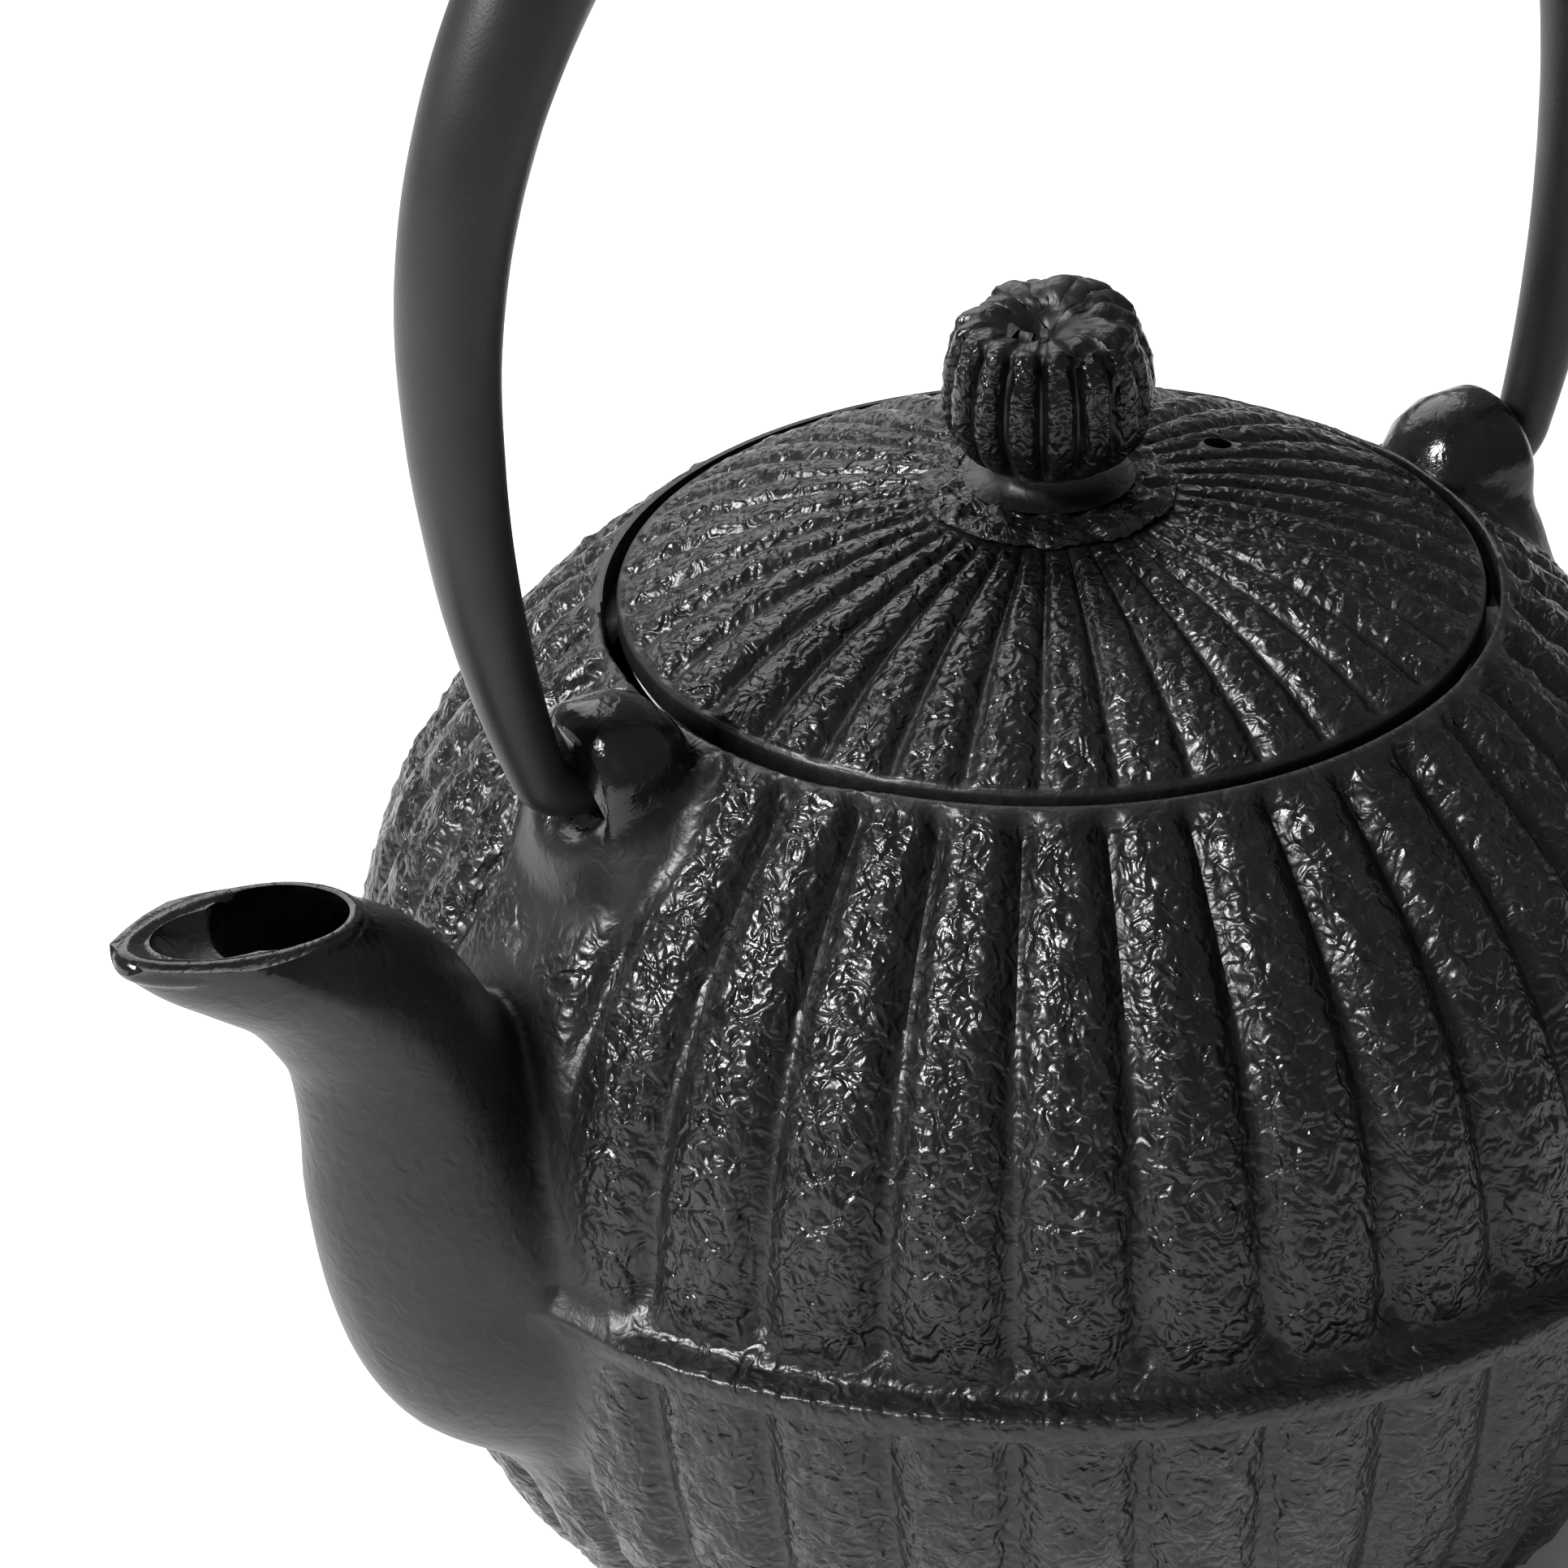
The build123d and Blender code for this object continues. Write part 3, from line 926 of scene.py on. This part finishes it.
def makeHandle():
    rows = handleRows()
    piece = sweepTube("archHandle", rows, len(rows) - 1, handle["points"])
    editFaces(piece, lambda face: len(face.vertices) == handle["points"])
    bpy.ops.mesh.bevel(offset=0.4 * mm, segments=3)
    bpy.ops.object.mode_set(mode="OBJECT")
    weightGroup(piece, "hammered", [1.0 for v in piece.data.vertices])
    displace(piece, "hammered", 0.16, cloudTexture("hammering", 9, 1, "BLENDER_ORIGINAL"), 0.5)
    piece.vertex_groups.clear()
    finish = satinFinish("satinBlackRod", (0.0065, 0.0065, 0.007), 0.42, 0.35)
    finishPiece(piece, finish, "bail", ["handle"])


# the lid, with its knob and the knob's seat below
lid = {
    "radius": 42.6,
    "top": ((0, 112.1), (20.8, 112.1), (34.1, 107.5), (42.2, 101.95)),
    "under": ((36.4, 101.0), (32.0, 104.2), (20.0, 109.3), (0, 109.3)),
    "offset": 2.0,
    "ribDepth": 1.0,
    "ribWidth": 1.2,
    "wrinkleDepth": 0.5,
    "vent": (-20.7, 1.4),
}


def lidOutline():
    edge = lid["radius"]
    outline = curvePoints(*lid["top"], 60) + [(42.45, 101.7), (edge, 101.35), (edge, 100.6), (edge, 99.2)]
    outline += [(edge - 0.4, 98.8), (38.6, 98.8), (38.6, 92.0), (38.1, 91.5), (36.9, 91.5), (36.4, 92.0)]
    return outline + curvePoints(*lid["under"], 12)


def makeLid():
    piece = lathe("ribbedLid", lidOutline(), ribCount * 16)
    deselectAll()
    x, radius = lid["vent"]
    middle = (x * mm, 0, 108 * mm)
    bpy.ops.mesh.primitive_cylinder_add(vertices=36, radius=radius * mm, depth=20 * mm, location=middle)
    drill = bpy.context.object
    combine(piece, drill, "DIFFERENCE")
    points = [v.co / mm for v in piece.data.vertices]
    masks = []
    for p in points:
        reach = math.hypot(p.x, p.y)
        top = p.z > 101.9 and p.z > 112.6 - 0.0062 * reach ** 2 - 1.6
        mask = smoothStep(11.5, 14.5, reach) * (1 - smoothStep(41.6, 42.4, reach)) if top else 0.0
        masks.append(mask * smoothStep(1.5, 2.4, math.hypot(p.x - x, p.y)))
    angles = [math.degrees(math.atan2(p.y, p.x)) for p in points]
    reaches = [math.hypot(p.x, p.y) for p in points]
    offset, width = lid["offset"], lid["ribWidth"]
    dips = [grooveWeight(a, offset, width) for a in angles]
    weightGroup(piece, "grooves", [m * g * min(1, 0.3 + r / 45) for m, g, r in zip(masks, dips, reaches)])
    skins = [m * (1 - min(1, 1.15 * g)) for m, g in zip(masks, dips)]
    weightGroup(piece, "skin", [s * min(1, 0.25 + r / 45) for s, r in zip(skins, reaches)])
    displace(piece, "grooves", -lid["ribDepth"])
    displace(piece, "skin", lid["wrinkleDepth"], cloudTexture("lidSkin", 1.4, 2, "BLENDER_ORIGINAL", 1.6), 0.6)
    piece.vertex_groups.clear()
    keepAttribute(piece, "skin", [m * (1 - 0.6 * g) for m, g in zip(masks, dips)])
    keepAttribute(piece, "polish", [0.0] * len(points))
    finishPiece(piece, castingFinish("ribbedLidIron"), "cover", ["lid"], 50)


knob = {
    "lobes": 16,
    "lobeDepth": 1.25,
    "lobeWidth": 3.0,
    "radius": 10.4,
    "head": ((5.4, 115.4), (8.8, 116.0), (10.6, 119.0), (10.4, 123.0)),
    "crown": ((10.4, 123.0), (10.2, 127.2), (9.0, 130.3), (6.6, 130.5)),
    # lumps and hollows of the folded top: the name, height, x, y and spread of each
    "folds": (
        ("mound", 1.7, -3.7, -2.6, 4.6), ("crease", -1.5, 0.4, -0.9, 1.5), ("hollow", -0.9, 3.4, 1.2, 3.6),
        ("frontNotch", -1.4, 1.2, 7.6, 1.6),
    ),
    "dimple": ((6.6, 130.5), (4.6, 130.7), (3.2, 128.9), (0, 128.6)),
}


def makeKnob():
    outline = [(0, 107.6), (3.4, 107.6), (4.2, 108.0), (4.6, 109.1), (2.95, 109.1), (2.95, 113.5)]
    outline += curvePoints((8.4, 113.3), (6.2, 113.4), (5.5, 114.2), (5.4, 115.4), 8)
    outline += curvePoints(*knob["head"], 18)[1:] + curvePoints(*knob["crown"], 20)[1:]
    outline += curvePoints(*knob["dimple"], 14)[1:]
    piece = lathe("melonKnob", outline, knob["lobes"] * 14)
    points = [v.co / mm for v in piece.data.vertices]
    lobes, skins, tops, polish = [], [], [], []
    for p in points:
        reach = math.hypot(p.x, p.y)
        side = smoothStep(115.4, 117.6, p.z) * (1 - 0.75 * smoothStep(129.0, 130.4, p.z))
        side *= smoothStep(3.0, 6.5, reach)
        angle = math.degrees(math.atan2(p.y, p.x))
        dip = grooveWeight(angle, 4, knob["lobeWidth"], knob["lobes"])
        lobes.append(side * dip)
        skins.append(side * (1 - min(1, 1.1 * dip)))
        tops.append(smoothStep(126.5, 129.5, p.z))
        polish.append(0.75 * side * smoothStep(121.0, 126.0, p.z) * (1 - dip))
    weightGroup(piece, "lobes", lobes)
    weightGroup(piece, "skin", skins)
    weightGroup(piece, "crown", tops)
    displace(piece, "lobes", -knob["lobeDepth"])
    displace(piece, "skin", 0.35, cloudTexture("knobSkin", 0.9, 2, "BLENDER_ORIGINAL", 1.6), 0.6)
    displace(piece, "crown", 1.3, cloudTexture("sunkenCrown", 4.0, 1, "BLENDER_ORIGINAL", 1.6), 0.55)
    for name, height, x, y, spread in knob["folds"]:
        near = [t * math.exp(-(((p.x - x) ** 2 + (p.y - y) ** 2) / spread ** 2)) for p, t in zip(points, tops)]
        weightGroup(piece, name, near)
        displace(piece, name, height)
    piece.vertex_groups.clear()
    keepAttribute(piece, "skin", skins)
    keepAttribute(piece, "polish", polish)
    finishPiece(piece, castingFinish("knobIron", 2.2, 0.8), "cover", ["lid_knob"], 50)


seat = {"radius": 12.7, "petals": 11}


def makeSeat():
    edge = seat["radius"]
    outline = [(2.95, 111.5), (edge - 0.3, 111.5), (edge, 111.7), (edge, 112.1), (edge - 0.5, 112.5)]
    outline += curvePoints((edge - 1.0, 112.7), (10.6, 113.1), (9.2, 113.0), (8.2, 113.4), 8)
    outline += [(2.95, 113.45), (2.95, 111.5)]
    piece = lathe("petalSeat", outline, 180)
    points = [v.co / mm for v in piece.data.vertices]
    edges = [smoothStep(5.4, 9.6, math.hypot(p.x, p.y)) for p in points]
    angles = [math.degrees(math.atan2(p.y, p.x)) for p in points]
    notches = [e * grooveWeight(a, 7, 4.0, seat["petals"]) for e, a in zip(edges, angles)]
    weightGroup(piece, "notches", notches)
    weightGroup(piece, "skin", edges)
    displace(piece, "notches", -0.6)
    displace(piece, "skin", 0.8, cloudTexture("petalSkin", 1.3, 2, "BLENDER_ORIGINAL", 1.5), 0.75)
    piece.vertex_groups.clear()
    keepAttribute(piece, "skin", [0.8 * e for e in edges])
    keepAttribute(piece, "polish", [0.0] * len(points))
    finishPiece(piece, castingFinish("seatIron", 2.2, 0.9), "cover", ["knob_seat"], 50)


# the infuser basket: sheet rims, woven wall and floor
infuser = {
    "rim": 42.2,
    "wall": 40.2,
    "foot": 36.0,
    "sheet": 0.6,
    "ledge": 97.6,
    "collarLow": 88.0,
    "low": 43.0,
    "ring": 4.0,
    "pitch": 1.45,
    "wire": 0.42,
}


def makeInfuser():
    steel = steelFinish("spunSteel")
    rim, wall, foot, sheet = (infuser[key] for key in ("rim", "wall", "foot", "sheet"))
    ledge, collarLow, low = infuser["ledge"], infuser["collarLow"], infuser["low"]
    ringTop = low + infuser["ring"]
    outline = [(wall, collarLow), (wall, ledge - 0.4), (wall + 0.4, ledge), (rim - 0.3, ledge), (rim, ledge + 0.3)]
    outline += [(rim, ledge + 0.6), (rim - 0.3, ledge + 0.8), (wall - sheet + 0.5, ledge + 0.8)]
    outline += [(wall - sheet, ledge + 0.3), (wall - sheet, collarLow), (wall, collarLow)]
    finishPiece(lathe("infuserRim", outline, 180), steel, "infuser", ["infuser_rim"])
    outline = [(foot, low + 0.2), (foot, ringTop), (foot - sheet, ringTop), (foot - sheet, low)]
    outline += [(foot - 0.2, low), (foot, low + 0.2)]
    finishPiece(lathe("infuserBaseRing", outline, 180), steel, "infuser", ["infuser_base_ring"])
    makeMeshWall(steel)
    makeMeshFloor(steel)


def wireUp(piece):
    modifier = piece.modifiers.new("weave", "WIREFRAME")
    modifier.thickness = infuser["wire"] * mm
    modifier.use_even_offset = False
    modifier.use_boundary = True
    applyModifiers(piece)


def makeMeshWall(steel):
    wall, foot, sheet = infuser["wall"], infuser["foot"], infuser["sheet"]
    low, high = infuser["low"] + infuser["ring"], infuser["collarLow"]
    columns = round(2 * math.pi * wall / infuser["pitch"])
    rows = round((high - low) / infuser["pitch"])
    deselectAll()
    bpy.ops.mesh.primitive_circle_add(
        vertices=columns, radius=(foot - sheet / 2) * mm, location=(0, 0, low * mm), fill_type="NOTHING"
    )
    piece = bpy.context.object
    piece.name = piece.data.name = "infuserMesh"
    placeInMesh(piece)
    startEdit(piece)
    bpy.ops.mesh.select_all(action="SELECT")
    radius = foot - sheet / 2
    for i in range(1, rows + 1):
        nextRadius = foot - sheet / 2 + (wall - foot) * i / rows
        bpy.ops.mesh.extrude_region_move(TRANSFORM_OT_translate={"value": (0, 0, (high - low) / rows * mm)})
        bpy.ops.transform.resize(value=(nextRadius / radius, nextRadius / radius, 1), center_override=(0, 0, 0))
        radius = nextRadius
    bpy.ops.object.mode_set(mode="OBJECT")
    wireUp(piece)
    finishPiece(piece, steel, "infuser", ["infuser_wall"])


def makeMeshFloor(steel):
    radius = infuser["foot"] - infuser["sheet"]
    cells = round(2 * radius / infuser["pitch"])
    deselectAll()
    bpy.ops.mesh.primitive_grid_add(
        x_subdivisions=cells, y_subdivisions=cells, size=2 * radius * mm, location=(0, 0, (infuser["low"] + 0.3) * mm)
    )
    piece = bpy.context.object
    piece.name = piece.data.name = "infuserFloor"
    placeInMesh(piece)
    editFaces(piece, lambda face: face.center.to_2d().length > radius * mm)
    bpy.ops.mesh.delete(type="FACE")
    bpy.ops.object.mode_set(mode="OBJECT")
    wireUp(piece)
    finishPiece(piece, steel, "infuser", ["infuser_floor"])


addCamera()
addStudio()
print("studio set")
makePot()
makeLining()
makeHandle()
makeLid()
makeKnob()
makeSeat()
makeInfuser()
